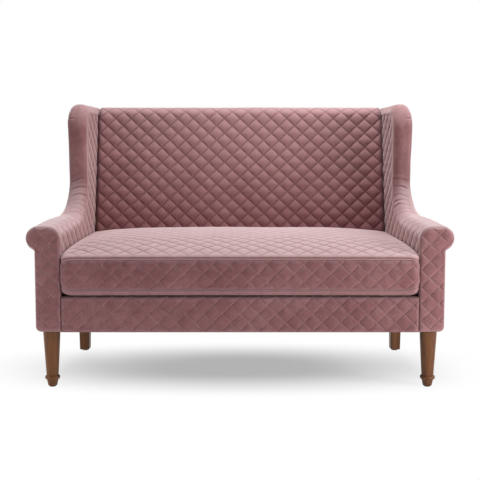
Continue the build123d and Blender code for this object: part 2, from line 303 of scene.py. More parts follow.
class Finish:
    def __init__(self, name, store=bpy.data.materials):
        self.material = store.new(name)
        self.material.use_nodes = True
        self.tree = self.material.node_tree
        self.tree.nodes.clear()

    def node(self, kind, settings=None, inputs=None, out=0):
        node = self.tree.nodes.new("ShaderNode" + kind)
        for key, value in (settings or {}).items():
            if key == "stops":
                ramp = node.color_ramp
                while len(ramp.elements) < len(value):
                    ramp.elements.new(0.5)
                for element, (place, colour) in zip(ramp.elements, value):
                    element.position, element.color = place, colour
            else:
                setattr(node, key, value)
        for key, value in (inputs or {}).items():
            if isinstance(value, Wire):
                self.tree.links.new(value.socket, node.inputs[key])
            else:
                node.inputs[key].default_value = value
        return Wire(self.tree, node.outputs[out])

    def mix(self, share, first, second):
        # 0 is the factor, 6 and 7 the two colours of a Mix node
        return self.node("Mix", {"data_type": "RGBA"}, {0: share, 6: first, 7: second}, 2)

    def span(self, value, low, high, first=0.0, last=1.0, smooth=False):
        kind = {"interpolation_type": "SMOOTHSTEP" if smooth else "LINEAR"}
        return self.node("MapRange", kind, {"Value": value, "From Min": low, "From Max": high,
                                            "To Min": first, "To Max": last})

    def grain(self, place, scale, detail, roughness, distortion=0.0):
        return self.node("TexNoise", inputs={"Vector": place, "Scale": scale, "Detail": detail,
                                             "Roughness": roughness, "Distortion": distortion})

    def axis(self, vector, index):
        return self.node("SeparateXYZ", inputs={0: vector}, out=index)

    def bump(self, height, strength, distance):
        return self.node("Bump", inputs={"Strength": strength, "Distance": distance, "Height": height},
                         out="Normal")

    def direct(self):
        # 1 where the backdrop is looked at, 0 where it lights the sofa
        seen = self.node("LightPath", out="Is Camera Ray")
        for ray in ("Is Glossy Ray", "Is Transmission Ray"):
            seen = seen.math("MAXIMUM", self.node("LightPath", out=ray))
        return seen

    def surface(self, inputs):
        self.output(self.node("BsdfPrincipled", inputs=inputs))
        return self.material

    def output(self, shader, kind="Material"):
        result = self.tree.nodes.new("ShaderNodeOutput" + kind)
        self.tree.links.new(shader.socket, result.inputs["Surface"])


velvetLook = {
    "mid": tone(148, 95, 97),
    "deep": tone(132, 80, 82),
    "bright": tone(163, 112, 114),
    # pressed pile in the channels, and painted shade low on a piece and over a whole piece
    "pressedAndShaded": tone(100, 60, 62),
    # painted shade in seams, joints and wrinkle creases
    "seamAndCreaseShade": tone(70, 36, 38),
    "thread": tone(184, 142, 144),
    "paintedHighlight": tone(224, 200, 202),    # painted sheen and painted top light: a pale colour mixed in on grazing and upward surfaces
    "rim": tone(196, 154, 156),        # painted sheen and painted highlight on edges, along seams and high on the back
    "sheen": tone(250, 236, 236),
    # scale, detail, roughness and distortion of the noises in the nap
    "patches": (6.0, 4.0, 0.6),
    "strokes": (38.0, 3.0, 0.65, 0.6),
    "flecks": (240.0, 2.0, 0.6),
    "pile": (1500.0, 2.0, 0.7),
    "dash": 0.74,                      # share of a stitch that shows as thread
}


# crease and hollow: tone and half width of a channel, darkened partly as pressed pile and partly as painted
# shade;
# line and thread: half width and strength of its stitches; lift, base and topLightStrength: how much painted
# top light the slopes get; shaded: painted shade low on the piece and painted light high on it; seamSheen,
# reach and
# seamShadeDepth: painted sheen and painted shade along the seams; relief: depth of the channels; pale: a
# painted highlight; paintedShade: painted shade over the whole piece; swept: painted light in the sweep up to
# the wing
def velvet(name, sewn=True, crease=0.34, hollow=0.0055, line=0.0005, thread=0.4, lift=(0.15, 0.6), base=0.1,
           topLightStrength=1.0, shaded=0.0, seamSheen=0.0, reach=0.0034, seamShadeDepth=0.62, relief=0.8, pale=0.0, paintedShade=0.0,
           swept=False):
    look = Finish(name)
    place = look.node("TexCoord", out="Object")

    def tinted(colour, share, key):
        return look.mix(share, colour, velvetLook[key])

    patches = look.grain(place, *velvetLook["patches"])
    strokes = look.grain(place, *velvetLook["strokes"])
    pile = look.grain(place, *velvetLook["pile"])
    flecks = look.grain(place, *velvetLook["flecks"])
    nap = patches * 0.45 + strokes * 0.3 + flecks * 0.25
    stops = [(0.4, velvetLook["deep"]), (0.5, velvetLook["mid"]), (0.6, velvetLook["bright"])]
    colour = look.node("ValToRGB", {"stops": stops}, {"Fac": nap})
    # painted top light: upward slopes are mixed towards a pale colour
    upward = look.axis(look.node("NewGeometry", out="Normal"), 2)
    paintedTopLight = look.span(upward, *lift, base, topLightStrength)
    if swept:    # painted top light, strongest on the sweep up to the wing and weakest on the top of the wing
        level = look.axis(place, 2)
        sweep = look.span(level, 0.58, 0.68, last=0.3)
        crest = look.span(level, 0.78, 0.92, last=0.85)
        paintedTopLight = paintedTopLight * (1 + sweep - crest)
    # painted sheen: pale colours mixed in where the surface is seen at a grazing angle, the second also on
    # upward slopes
    grazing = look.node("LayerWeight", inputs={"Blend": 0.5}, out="Facing")
    colour = tinted(colour, grazing.math("POWER", 5.0) * 0.6, "rim")
    share = (grazing.math("POWER", 3.0) * 0.3 + 0.4) * paintedTopLight
    colour = tinted(colour, share.math("MINIMUM", 0.9), "paintedHighlight")
    # painted highlight on convex edges, plus a flat painted highlight where pale is set
    edgeHighlight = look.span(look.node("NewGeometry", out="Pointiness"), 0.505, 0.57)
    colour = tinted(colour, edgeHighlight * 0.6 + pale, "rim")
    # painted shade over the whole piece
    if paintedShade:
        colour = tinted(colour, paintedShade, "pressedAndShaded")
    height = pile * 0.25
    if sewn:
        flat = look.node("UVMap", {"uv_map": "quilt"})
        u = look.axis(flat, 0)
        v = look.axis(flat, 1)
        a = u / quilt["across"] + v / quilt["up"]
        b = u / quilt["across"] - v / quilt["up"]
        nears, lines = [], []
        for crossed, along in ((a, b), (b, a)):
            near = crossed.math("PINGPONG", 0.5) * pitch
            dash = (along * quilt["stitches"]).math("FRACT").math("LESS_THAN", velvetLook["dash"])
            nears.append(near)
            lines.append(dash * near.math("LESS_THAN", line))
        sewnShare = look.node("Attribute", {"attribute_name": "sewn"}, out="Fac")
        press = look.span(nears[0].math("MINIMUM", nears[1]), 0.0, hollow, 1.0, 0.0, smooth=True) * sewnShare
        stitch = lines[0].math("MAXIMUM", lines[1]) * sewnShare
        seam = look.node("Attribute", {"attribute_name": "seam"}, out="Fac")
        # painted shade within reach of a seam, a joint or a wrinkle crease
        tuck = look.span(seam, 0.0003, reach, seamShadeDepth, 0.0, smooth=True)
        # painted sheen: a pale rim along the seams
        if seamSheen:
            seamSheenShare = look.span(seam, 0.002, 0.013, seamSheen, 0.0, smooth=True)
            colour = tinted(colour, seamSheenShare, "rim")
        if shaded:    # painted shade low on the piece and painted light high on it
            rise = look.span(v, -0.42, 0.0)
            colour = tinted(colour, (1 - rise) * shaded, "pressedAndShaded")
            colour = tinted(colour, rise * shaded * 1.5, "rim")
            # painted highlight along the turned top
            crest = look.span(v, 0.025, 0.075, last=0.35)
            colour = tinted(colour, crest, "paintedHighlight")
        # the channels darkened, partly as pressed pile and partly as painted shade
        colour = tinted(colour, press * crease, "pressedAndShaded")
        colour = tinted(colour, tuck, "seamAndCreaseShade")
        colour = tinted(colour, stitch * (strokes * 1.4 - 0.1) * thread, "thread")
        height = height + stitch * 0.6 - press * relief
    return look.surface({
        "Base Color": colour, "Roughness": 0.86 - nap * 0.12, "Normal": look.bump(height, 0.35, 0.0012),
        "Specular IOR Level": 0.2, "Sheen Weight": 0.6, "Sheen Roughness": 0.38,
        "Sheen Tint": velvetLook["sheen"]})


def wood(name, pale, dark, gloss, rings=9.0, stretch=(26, 26, 1.6)):
    look = Finish(name)
    pale, dark = tone(*pale), tone(*dark)
    place = look.node("TexCoord", out="Object")
    along = look.node("Mapping", inputs={"Vector": place, "Scale": stretch})
    bands = look.grain(along, rings / 6, 5.0, 0.6, 0.8)
    pores = look.grain(along, 14.0, 3.0, 0.7)
    figure = bands * 0.7 + pores * 0.3
    colour = look.node("ValToRGB", {"stops": [(0.34, dark), (0.62, pale)]}, {"Fac": figure})
    return look.surface({"Base Color": colour, "Roughness": gloss + pores * 0.18,
                         "Normal": look.bump(pores, 0.15, 0.0006), "Specular IOR Level": 0.4})


def woven(name, pale, dark, count):
    look = Finish(name)
    pale, dark = tone(*pale), tone(*dark)
    place = look.node("TexCoord", out="Object")
    over = (look.axis(place, 0) * count).math("SINE") * (look.axis(place, 1) * count).math("SINE")
    fuzz = look.grain(place, 60.0, 4.0, 0.6)
    share = look.span(over + fuzz - 0.5, -1.0, 1.0)
    return look.surface({"Base Color": look.mix(share, dark, pale), "Roughness": 0.9 - fuzz * 0.1,
                         "Normal": look.bump(over, 0.4, 0.0005), "Specular IOR Level": 0.2})


def plain(name, pale, dark, gloss, metal=0.0, grain=90.0):
    look = Finish(name)
    pale, dark = tone(*pale), tone(*dark)
    speck = look.grain(look.node("TexCoord", out="Object"), grain, 4.0, 0.6)
    return look.surface({"Base Color": look.mix(speck, dark, pale), "Roughness": gloss + speck * 0.15,
                         "Metallic": metal, "Normal": look.bump(speck, 0.2, 0.0004)})


# painted shade low on the back and painted light high on it, with a wide painted shadow beside the wings
backVelvet = velvet("backVelvet", topLightStrength=0.2, shaded=0.36, reach=0.026, seamShadeDepth=0.5)
seatVelvet = velvet("seatVelvet", crease=0.45, hollow=0.006, topLightStrength=1.25)
armVelvet = velvet("armVelvet", crease=0.64, relief=1.9, lift=(0.0, 0.42), base=0.22, topLightStrength=1.1, swept=True)
frontStitch = {"crease": 0.14, "hollow": 0.0042, "line": 0.0014, "thread": 1.0}
# painted sheen along the seams of the front pieces, strongest on the cushion border
softVelvet = velvet("softVelvet", seamSheen=0.22, relief=2.6, **frontStitch)
borderVelvet = velvet("borderVelvet", seamSheen=0.5, relief=3.2, **frontStitch)
# the rail: painted shade over it and under the cushion
railVelvet = velvet("railVelvet", reach=0.016, relief=2.6, paintedShade=0.1, **frontStitch)
plainVelvet = velvet("plainVelvet", sewn=False)
# the welt is painted pale as a highlight
weltVelvet = velvet("weltVelvet", sewn=False, pale=0.7)
legWood = wood("legWood", (134, 82, 40), (80, 44, 17), 0.38)
beech = wood("beech", (205, 172, 132), (170, 132, 94), 0.6)
plyBoard = wood("plyBoard", (214, 184, 146), (176, 142, 104), 0.65, rings=14.0, stretch=(3, 24, 24))
strapWeave = woven("strapWeave", (74, 66, 60), (38, 34, 32), 2200.0)
liningWeave = woven("liningWeave", (52, 50, 51), (30, 29, 30), 2600.0)
paleFoam = plain("paleFoam", (232, 222, 190), (212, 198, 160), 0.85, grain=260.0)
zincSteel = plain("zincSteel", (198, 198, 196), (164, 164, 166), 0.32, metal=1.0)
darkPlastic = plain("darkPlastic", (48, 42, 40), (32, 28, 27), 0.45)
deckWeave = woven("deckWeave", (104, 66, 68), (78, 48, 50), 2400.0)
zipTape = woven("zipTape", (128, 84, 88), (100, 62, 66), 2600.0)
print("materials:", len(bpy.data.materials))

slotFinish = {"velvet": softVelvet, "frame_timber": beech, "plywood": plyBoard, "foam": paleFoam,
              "webbing": strapWeave, "lining": liningWeave, "leg_wood": legWood, "steel": zincSteel,
              "plastic": darkPlastic}
for entry in frame["record"]["subparts"]:
    finish = zipTape if entry["node"] == "zip_tape" else slotFinish[entry["material_slot"]]
    nodes[entry["node"]].data.materials.clear()
    nodes[entry["node"]].data.materials.append(finish)

# the arm and wing side: one line runs over the arm, round the hollow, up the wing and over its top
armWing = {
    "armTop": 0.561, "armRise": 0.012, "setback": 0.42, "sweep": 0.130, "wingTop": 0.982, "crest": 0.090,
    "fall": 0.0242, "frontSlope": 0.0286, "rearSlope": 0.04,
    "innerArm": 0.041, "innerWing": 0.030, "innerCrest": 0.034,    # radii of the inner and the outer edge
    "roll": 0.041, "wingEdge": 0.022, "crestEdge": 0.030,
    "post": 0.088, "postTop": 0.48, "waist": 0.066, "waistLevel": 0.69, "wingOut": 0.072, "rollOut": 0.117,
    "rollTuck": math.radians(-73), "wingTuck": math.radians(-4),
    "step": 0.0026, "innerCuts": 60, "browCuts": 40, "outerCuts": 70,
    "firstRows": (0, 0.0004, 0.0012, 0.0024, 0.0038), "lastRows": (0.0036, 0.0022, 0.001, 0.0003),
    "low": 0.315, "high": 0.93, "layer": 0.1, "rear": 0.775,       # hidden edges of the cover
    "crossing": (0.02, 0.31), "puff": 0.0036, "outerPuff": 0.0024, "seam": 0.004,
    "tuckIn": 0.0055, "tuckLength": 0.05, "footEdge": 0.017,
    # place along the brow, depth and width of each wrinkle; level and depth of each pleat
    "wrinkles": ((0.352, 0.0008, 0.0050), (0.376, 0.0011, 0.0042), (0.398, 0.0014, 0.0036),
                 (0.416, 0.0016, 0.0034), (0.438, 0.0017, 0.0034), (0.466, 0.0016, 0.0038),
                 (0.496, 0.0011, 0.0048)),
    "pleats": ((0.925, 0.0025), (0.953, 0.0022)),
}


def tuckedIn(distance):
    # how far the edge of a side cover is pushed under its neighbour
    return armWing["tuckIn"] * max(0.0, 1 - distance / armWing["tuckLength"])


def outerFace(level):
    cut = armWing
    if level < cut["postTop"]:
        return cut["post"]
    if level < cut["waistLevel"]:
        return mixed(cut["post"], cut["waist"], ease(0.47, cut["waistLevel"], level))
    return mixed(cut["waist"], cut["wingOut"], ease(cut["waistLevel"], cut["wingTop"], level))


def browLine():
    cut = armWing
    rear = sofa["backFoot"] + backLength * sinLean
    endLevel = cut["wingTop"] - cut["fall"] * (rear - cut["setback"]) / (1.0 - cut["setback"])
    corners = [(0, cut["armTop"]), (cut["setback"], cut["armTop"] + cut["armRise"]),
               (cut["setback"], cut["wingTop"]), (rear, endLevel)]
    line = roundedPath(corners, [0, cut["sweep"], cut["crest"], 0], cut["step"])
    start, normal = line[0]
    close = [(start + Vector((d, d * cut["frontSlope"])), normal.copy()) for d in cut["firstRows"]]
    last, lastNormal = line[-1]
    ends = [(last - Vector((d, -d * cut["rearSlope"])), lastNormal.copy()) for d in cut["lastRows"]]
    line = close + line[1:-1] + ends + [line[-1]]
    line = [(point, -normal if normal.y < 0 or (abs(normal.y) < 0.05 and normal.x > 0) else normal)
            for point, normal in line]
    lengths = [0.0]
    for before, after in zip(line, line[1:]):
        lengths.append(lengths[-1] + (after[0] - before[0]).length)
    return line, lengths


def alongEdge(keys, corners, length):
    # a place on a run of straight edges, found from keys of (length along the brow, share of the run)
    for (s1, d1), (s2, d2) in zip(keys, keys[1:]):
        if length <= s2 + 1e-9:
            reach = mixed(d1, d2, (length - s1) / (s2 - s1))
            break
    for start, stop in zip(corners, corners[1:]):
        run = (Vector(stop) - Vector(start)).length
        if reach <= run + 1e-9:
            return Vector(start).lerp(Vector(stop), reach / run)
        reach -= run
    return Vector(corners[-1])


def backDepth(level, layer):
    return sofa["backFoot"] + (level - legHeight) * tanLean - layer / cosLean


brow, browLength = browLine()
print("brow:", len(brow), "rows,", round(browLength[-1], 3), "m")
browTotal = browLength[-1]
armEnd, hollowEnd, wingEnd, crestEnd = 0.29, 0.49, 0.682, 0.822    # lengths where its runs end


def browSection(index):
    cut = armWing
    point, normal = brow[index]
    share = ease(0.568, 0.74, point.y)
    if normal.y > 0.5 and point.x > 0.45:
        share = 1.0
    head = ease(0.2, 1.0, normal.y) if point.y > 0.85 else 0.0   # the wing's top is domed across
    inner = mixed(mixed(cut["innerArm"], cut["innerWing"], share), cut["innerCrest"], head)
    rolled = 1 - ease(0.18, 0.39, browLength[index])             # the roll runs out into the wing
    edge = mixed(mixed(cut["wingEdge"], cut["roll"], rolled), cut["crestEdge"], head)
    outmost = mixed(outerFace(point.y), cut["rollOut"], rolled)
    bottom = mixed(cut["wingTuck"], cut["rollTuck"], rolled)
    return point, normal, share, inner, edge, outmost, bottom


def footKeys(corners, first, shares, last):
    # which place on the lower edge of a side piece belongs to the end of each run of the brow
    foot = corners[1][0]
    rise = (Vector(corners[2]) - Vector(corners[1])).length
    keys = [(0, 0), (armEnd, first)]
    keys += [(length, foot + rise * share) for length, share in zip((hollowEnd, wingEnd, crestEnd), shares)]
    return keys + [(browTotal, foot + rise + last)]


def wrinkled(swell, near, length, across, pull, seed):
    # creases across the hollow, each with a soft ridge beside it; the distance to a crease places painted
    # shade in it
    band = ease(0.0, 0.25, pull) * (1 - ease(0.6, 0.82, pull))
    for place, deep, wide in armWing["wrinkles"]:
        bent = length - place + 0.020 * ease(0.03, 0.10, across)
        bent -= 0.007 * noise.noise((across * 24, place * 50, seed))
        deep *= band * max(0.0, 0.75 + 0.9 * noise.noise((across * 17, place * 31, seed + 4)))
        near = min(near, abs(bent) + 0.0014 + 0.0020 * max(0.0, 1 - deep / 0.0014))
        swell -= deep * math.exp(-(bent / wide) ** 2)
        swell += deep * 0.6 * math.exp(-((bent - wide * 1.7) / (wide * 1.3)) ** 2)
    return swell, near


def pleated(swell, out, level, share, seed):
    # short pleats where the cover turns over the top of the wing
    for place, deep in armWing["pleats"]:
        crossing = level - place - 0.10 * (out - 0.06) + 0.002 * noise.noise((out * 40, seed, place))
        swell -= ease(0.035, 0.055, out) * share * deep * math.exp(-(crossing / 0.0022) ** 2)
    return swell


def sideCover(side, name):
    cut = armWing
    seed = 3.0 if side > 0 else 11.0
    rows = len(brow) - 1
    columns = cut["innerCuts"] + cut["browCuts"]
    bm = plainGrid(rows, columns)
    startU, startV = cut["crossing"]
    low, high = cut["low"], cut["high"]
    corners = [(0.0, low), (backDepth(low, cut["layer"]), low), (backDepth(high, cut["layer"]), high),
               (cut["rear"], high)]
    keys = footKeys(corners, 0.40, (0.33, 0.8, 1.0), 0.102)
    flat, sewn, seams = {}, {}, {}
    for vert in bm.verts:
        index = round((vert.co.x + 0.5) * rows)
        column = round((vert.co.y + 0.5) * columns)
        point, normal, share, inner, edge, outmost, bottom = browSection(index)
        length = browLength[index]
        rimU, rimZ = point.x - normal.x * inner, point.y - normal.y * inner
        if column <= cut["innerCuts"]:    # the flat inner side
            foot = alongEdge(keys, corners, length)
            pull = column / cut["innerCuts"]
            depth, level = mixed(foot.x, rimU, pull), mixed(foot.y, rimZ, pull)
            out, angle = 0.0, math.pi
            flatU, flatV = depth, level
            across = 0.0
            fade = 1 - 0.8 * share * ease(0.75, 1.0, pull) - 0.4 * (1 - share) * ease(0.6, 1.0, pull)
        else:                             # over the brow: inner edge, top, outer edge
            pull = (column - cut["innerCuts"]) / cut["browCuts"]
            middle = outmost - edge
            runs = (inner * math.pi / 2, middle - inner, edge * (math.pi / 2 - bottom))
            across = pull * sum(runs)
            if across <= runs[0]:
                angle = math.pi - across / inner
                out, drop = inner + inner * math.cos(angle), inner - inner * math.sin(angle)
            elif across <= runs[0] + runs[1]:
                angle = math.pi / 2
                out, drop = inner + across - runs[0], 0.0
            else:
                angle = math.pi / 2 - (across - runs[0] - runs[1]) / edge
                out, drop = middle + edge * math.cos(angle), edge - edge * math.sin(angle)
            depth, level = point.x - normal.x * drop, point.y - normal.y * drop
            flatU, flatV = rimU + normal.x * across, rimZ + normal.y * across
            fade = mixed(1.0, 0.2, share) * (1 - ease(0.36, 0.48, length) * ease(0.008, 0.034, across))
            fade *= mixed(1.0, 0.5, ease(0.26, 0.34, length)) * mixed(0.6, 0.3, ease(0.0, 0.05, across))
        flatU, flatV = flatU - startU, flatV - startV
        # the distance to the ends of the cover places painted shade there
        near = min(length, browTotal - length)
        swell = cut["puff"] * mixed(1.0, 0.9, share) * (puff(flatU, flatV, seed) - 0.75) * fade
        if across > 0.0:
            swell, near = wrinkled(swell, near, length, across, pull, seed)
            swell = pleated(swell, out, level, share, seed)
            swell += 0.0016 * share * noise.noise((out * 22, depth * 14, level * 14 + seed))
        swell -= turnedEdge(length, cut["seam"]) + turnedEdge(browTotal - length, cut["seam"])
        if across > 0.0:
            swell -= 0.0022 * ease(0.95, 1.0, pull)
        depth += tuckedIn(depth)          # under the arm facing
        out += swell * math.cos(angle)
        depth += swell * math.sin(angle) * normal.x
        level += swell * math.sin(angle) * normal.y
        if point.x > 0.6 and column > cut["innerCuts"]:
            depth -= max(0.0, point.y - level) * tanLean * ease(0.6, 0.75, point.x)
        flat[vert.index], sewn[vert.index], seams[vert.index] = (flatU, flatV), fade, near
        vert.co = sidePoint(side, out, depth, level)
    keepFlat(bm, flat=flat, sewn=sewn, seams=seams)
    return padded(bm, name, armVelvet, outward=(-side, 0, 0.3))


def outsidePanel(side, name):
    cut = armWing
    seed = 5.0 if side > 0 else 17.0
    rows, columns = len(brow) - 1, cut["outerCuts"]
    bm = plainGrid(rows, columns)
    startU, startV = cut["crossing"]
    top = sofa["backFoot"] + backLength * sinLean
    corners = [(0.0, legHeight), (sofa["backFoot"], legHeight), (top, legHeight + backLength * cosLean)]
    keys = footKeys(corners, 0.36, (0.40, 0.8, 0.96), 0.0)
    flat = {}
    for vert in bm.verts:
        index = round((vert.co.x + 0.5) * rows)
        pull = round((vert.co.y + 0.5) * columns) / columns
        point, normal, share, inner, edge, outmost, bottom = browSection(index)
        drop = edge - edge * math.sin(bottom) - 0.005    # it starts under the edge of the cover
        tuck = Vector((point.x - normal.x * drop, point.y - normal.y * drop))
        spot = tuck.lerp(alongEdge(keys, corners, browLength[index]), pull)
        depth, level = spot.x, max(spot.y, legHeight)
        rear = backDepth(level, 0) - depth
        full = (puff(depth - startU, level - startV, seed) - 0.45) * ease(0.0, 0.014, min(depth, rear))
        swell = cut["outerPuff"] * (full - 0.4)
        swell -= turnedEdge(depth, cut["seam"]) + turnedEdge(rear, cut["seam"])
        depth = depth + tuckedIn(depth) - tuckedIn(rear)    # under the arm facing and the outside back
        out = outerFace(level) - turnedEdge(level - legHeight, cut["footEdge"])
        tuckOut = outmost - edge + edge * math.cos(bottom)
        out = mixed(tuckOut - 0.003, out, ease(0.005, 0.020, (spot - tuck).length))
        flat[vert.index] = (depth - startU, level - startV)
        vert.co = sidePoint(side, out + swell, depth, level)
    keepFlat(bm, flat=flat)
    return padded(bm, name, softVelvet, outward=(side, 0, 0))


# the front of an arm: a post with a round head
facing = {"width": 0.088, "head": 0.041, "headLevel": 0.520, "headIn": 0.041, "headOut": 0.076,
          "foot": 0.017, "corner": 0.003, "far": (0.122, 0.566), "crossing": (0.034, 0.3275),
          "scored": (0.002, 0.005, 0.009), "puff": 0.0044, "crown": 0.003, "edge": 0.008, "inset": 0.0015}


def facingDistance(out, level):
    halfX, halfY = facing["width"] / 2, (facing["headLevel"] - legHeight) / 2
    corner = facing["foot"] if out > halfX and level < legHeight + halfY else facing["corner"]
    dx = abs(out - halfX) - halfX + corner
    dy = abs(level - legHeight - halfY) - halfY + corner
    post = math.hypot(max(dx, 0), max(dy, 0)) + min(max(dx, dy), 0) - corner
    nearest = min(max(out, facing["headIn"]), facing["headOut"])
    head = math.hypot(out - nearest, level - facing["headLevel"]) - facing["head"]
    return min(post, head)


def armFacing(side, name):
    seed = 23.0 if side > 0 else 29.0
    origin = facing["crossing"]
    bm = quiltGrid((0.0, legHeight), facing["far"], origin, cuts=10)
    for inset in facing["scored"]:
        trim(bm, (inset, 0, 0), (1, 0, 0), clear=False)
        trim(bm, (facing["width"] - inset, 0, 0), (1, 0, 0), clear=False)
    trimToShape(bm, facingDistance)
    seam = keepFlat(bm, origin)
    for vert in bm.verts:
        out, level = vert.co.x, vert.co.y
        inside = -facingDistance(out, level)
        # painted shade and painted sheen along the edge of the facing
        vert[seam] = max(0.0, inside) + 0.0012
        swell = facing["puff"] * (puff(out - origin[0], level - origin[1], seed) - 0.6)
        swell *= ease(0.0, 0.012, inside)
        swell += facing["crown"] * ease(0.0, 0.03, inside)
        depth = facing["inset"] + turnedEdge(inside, facing["edge"]) - swell
        vert.co = sidePoint(side, out, depth, level)
    return padded(bm, name, softVelvet, outward=(0, -1, 0))


for side, word in ((1, "right"), (-1, "left")):
    cover = sideCover(side, word + "InsideArm")
    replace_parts(cover, word + "_inside_arm", word + "_wing_facing", word + "_arm_pad", word + "_roll_pad")
    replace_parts(outsidePanel(side, word + "OutsideArm"), word + "_outside_arm")
    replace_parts(armFacing(side, word + "ArmFacing"), word + "_arm_facing")
print("sides done")

# the quilted inside of the back, up its face and over its top
insideBack = {"puff": 0.0060, "crossing": 0.054, "edge": 0.014, "rearEdge": 0.006, "rearGap": 0.0045,
              "sideGap": 0.0008, "uneven": 0.0015}


def makeInsideBack():
    cut = insideBack
    thick, bend = sofa["backThick"], sofa["backRound"]
    low = (deckTop - legHeight - thick * sinLean) / cosLean
    straight = backLength - bend
    turned = straight + bend * math.pi / 2
    high = turned + thick - bend - cut["rearGap"]
    origin = (0.0, backLength - cut["crossing"])
    wide = halfWidth(sofa["backFoot"] - thick * cosLean)
    narrow = sinLean * tanTurn
    bm = quiltGrid((-wide, low), (wide, high), origin, cuts=10)
    for side in (-1, 1):
        trim(bm, (side * (wide - cut["sideGap"]), 0, 0), (side, narrow, 0))
    seam = keepFlat(bm, origin)
    for vert in bm.verts:
        across, along = vert.co.x, vert.co.y
        inside = wide - cut["sideGap"] - narrow * along - abs(across)
        # painted shade along the sides and the top edge, wide beside the wings
        vert[seam] = max(0.0, min(inside, high - along) - 0.001)
        swell = cut["puff"] * (puff(across, along - origin[1], 1.0) - 0.55)
        swell *= mixed(1.0, 0.12, ease(straight - 0.01, turned, along)) * ease(-0.004, 0.016, inside)
        swell -= turnedEdge(inside, cut["edge"]) + turnedEdge(high - along, cut["rearEdge"])
        swell += cut["uneven"] * noise.noise((across * 5, along * 5, 4.0))
        if along <= straight:
            vert.co = backPoint(across, thick + swell, along)
        elif along <= turned:
            angle = (along - straight) / bend
            vert.co = backPoint(across, thick - bend + (bend + swell) * math.cos(angle),
                                straight + (bend + swell) * math.sin(angle))
        else:
            vert.co = backPoint(across, thick - bend - (along - turned), backLength + swell)
    return padded(bm, "insideBack", backVelvet, outward=(0, -1, 0.3))


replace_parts(makeInsideBack(), "inside_back", "back_foam")

outsideBack = {"beyond": 0.09, "crossing": (0.0, 0.4), "puff": 0.0030, "edge": 0.007, "wingDrop": 0.0025}


def wingLift(out):
    # how far the end of a wing stands above the rear edge of the back
    point, normal, share, inner, edge, outmost, bottom = browSection(len(brow) - 1)
    drop = 0.0
    if out < inner:
        drop = turnedEdge(out, inner)
    elif out > outmost - edge:
        drop = turnedEdge(outmost - out, edge)
    return max(0.0, point.y - outsideBack["wingDrop"] - drop - legHeight - backLength * cosLean)


def backEdge(rise):
    depth = sofa["backFoot"] + rise * sinLean
    return halfWidth(depth) + outerFace(legHeight + rise * cosLean) / cosTurn


def makeOutsideBack():
    cut = outsideBack
    outer = sofa["seatHalf"] + cut["beyond"]
    origin = cut["crossing"]
    bm = quiltGrid((-outer, 0.0), (outer, backLength), origin, cuts=7)
    for vert in bm.verts:
        vert.co.x *= mixed(1.0, backEdge(vert.co.y) / outer, ease(0.45, outer, abs(vert.co.x)))
    seam = keepFlat(bm, origin)
    for vert in bm.verts:
        across, rise = vert.co.x, vert.co.y
        inside = min(backEdge(rise) - abs(across), rise, backLength - rise)
        beyond = abs(across) - halfWidth(sofa["backFoot"] + rise * sinLean)
        lift = wingLift(beyond * cosTurn) / cosLean
        rise += lift * ease(0.93, 1.0, rise / backLength)
        # painted shade and painted sheen along the edges
        vert[seam] = max(0.0, inside)
        full = (puff(across - origin[0], vert.co.y - origin[1], 37.0) - 0.5) * ease(0.0, 0.014, inside)
        swell = cut["puff"] * (full - 0.4)
        swell -= turnedEdge(inside, cut["edge"])
        vert.co = backPoint(across, -swell, rise)
    return padded(bm, "outsideBack", softVelvet, outward=(0, 1, 0))


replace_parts(makeOutsideBack(), "outside_back")

frontBorder = {"sideGap": 0.0004, "topGap": 0.003, "crossing": 0.063, "puff": 0.0042, "edge": 0.006,
               "topEdge": 0.011, "inset": 0.0012}


def makeFrontBorder():
    cut = frontBorder
    half, high = sofa["seatHalf"] - cut["sideGap"], deckTop - cut["topGap"]
    origin = (0.0, legHeight + cut["crossing"])
    bm = quiltGrid((-half, legHeight), (half, high), origin, cuts=10)
    seam = keepFlat(bm, origin)
    for vert in bm.verts:
        across, level = vert.co.x, vert.co.y
        inside = min(half - abs(across), level - legHeight + 0.001)
        top = high - level
        # deep in shadow under the cushion, and dark in a narrow line beside the arms
        vert[seam] = max(0.0, min(4 * (half - abs(across)), top + 0.001))
        swell = cut["puff"] * (puff(across, level - origin[1], 41.0) - 0.7)
        swell *= ease(0.0, 0.010, min(inside, top))
        swell -= turnedEdge(inside, cut["edge"]) + turnedEdge(top, cut["topEdge"])
        vert.co = Vector((across, armFront + cut["inset"] - swell, level))
    return padded(bm, "frontBorder", railVelvet, outward=(0, -1, 0))


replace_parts(makeFrontBorder(), "front_border", "front_pad")
print("back and front done")

# the deck cloth under the cushion and the dust cover beneath the sofa, both stretched flat
deck = {"node": "deck_cover", "name": "deckCloth", "look": deckWeave, "up": 1, "cuts": (60, 28),
        "margin": 0.0, "beyond": -0.001, "cutBeyond": 0.0, "level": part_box("deck_cover")[1].z - 0.0012,
        "rim": 0.05, "drop": lambda x, y, edge: max(0.0, -0.0012 * noise.noise((x * 9, y * 7, 2.0))),
        "on": "seat_webbing"}
dust = {"node": "dust_cover", "name": "dustCover", "look": liningWeave, "up": -1, "cuts": (70, 34),
        "margin": 0.002, "beyond": 0.0745, "cutBeyond": 0.0745, "level": legHeight + 0.0008, "rim": 0.08,
        "drop": lambda x, y, edge: 0.0016 * ease(0.0, 0.2, edge) + 0.0012 * noise.noise((x * 12, y * 9, 6.0)),
        "on": "front_rail"}


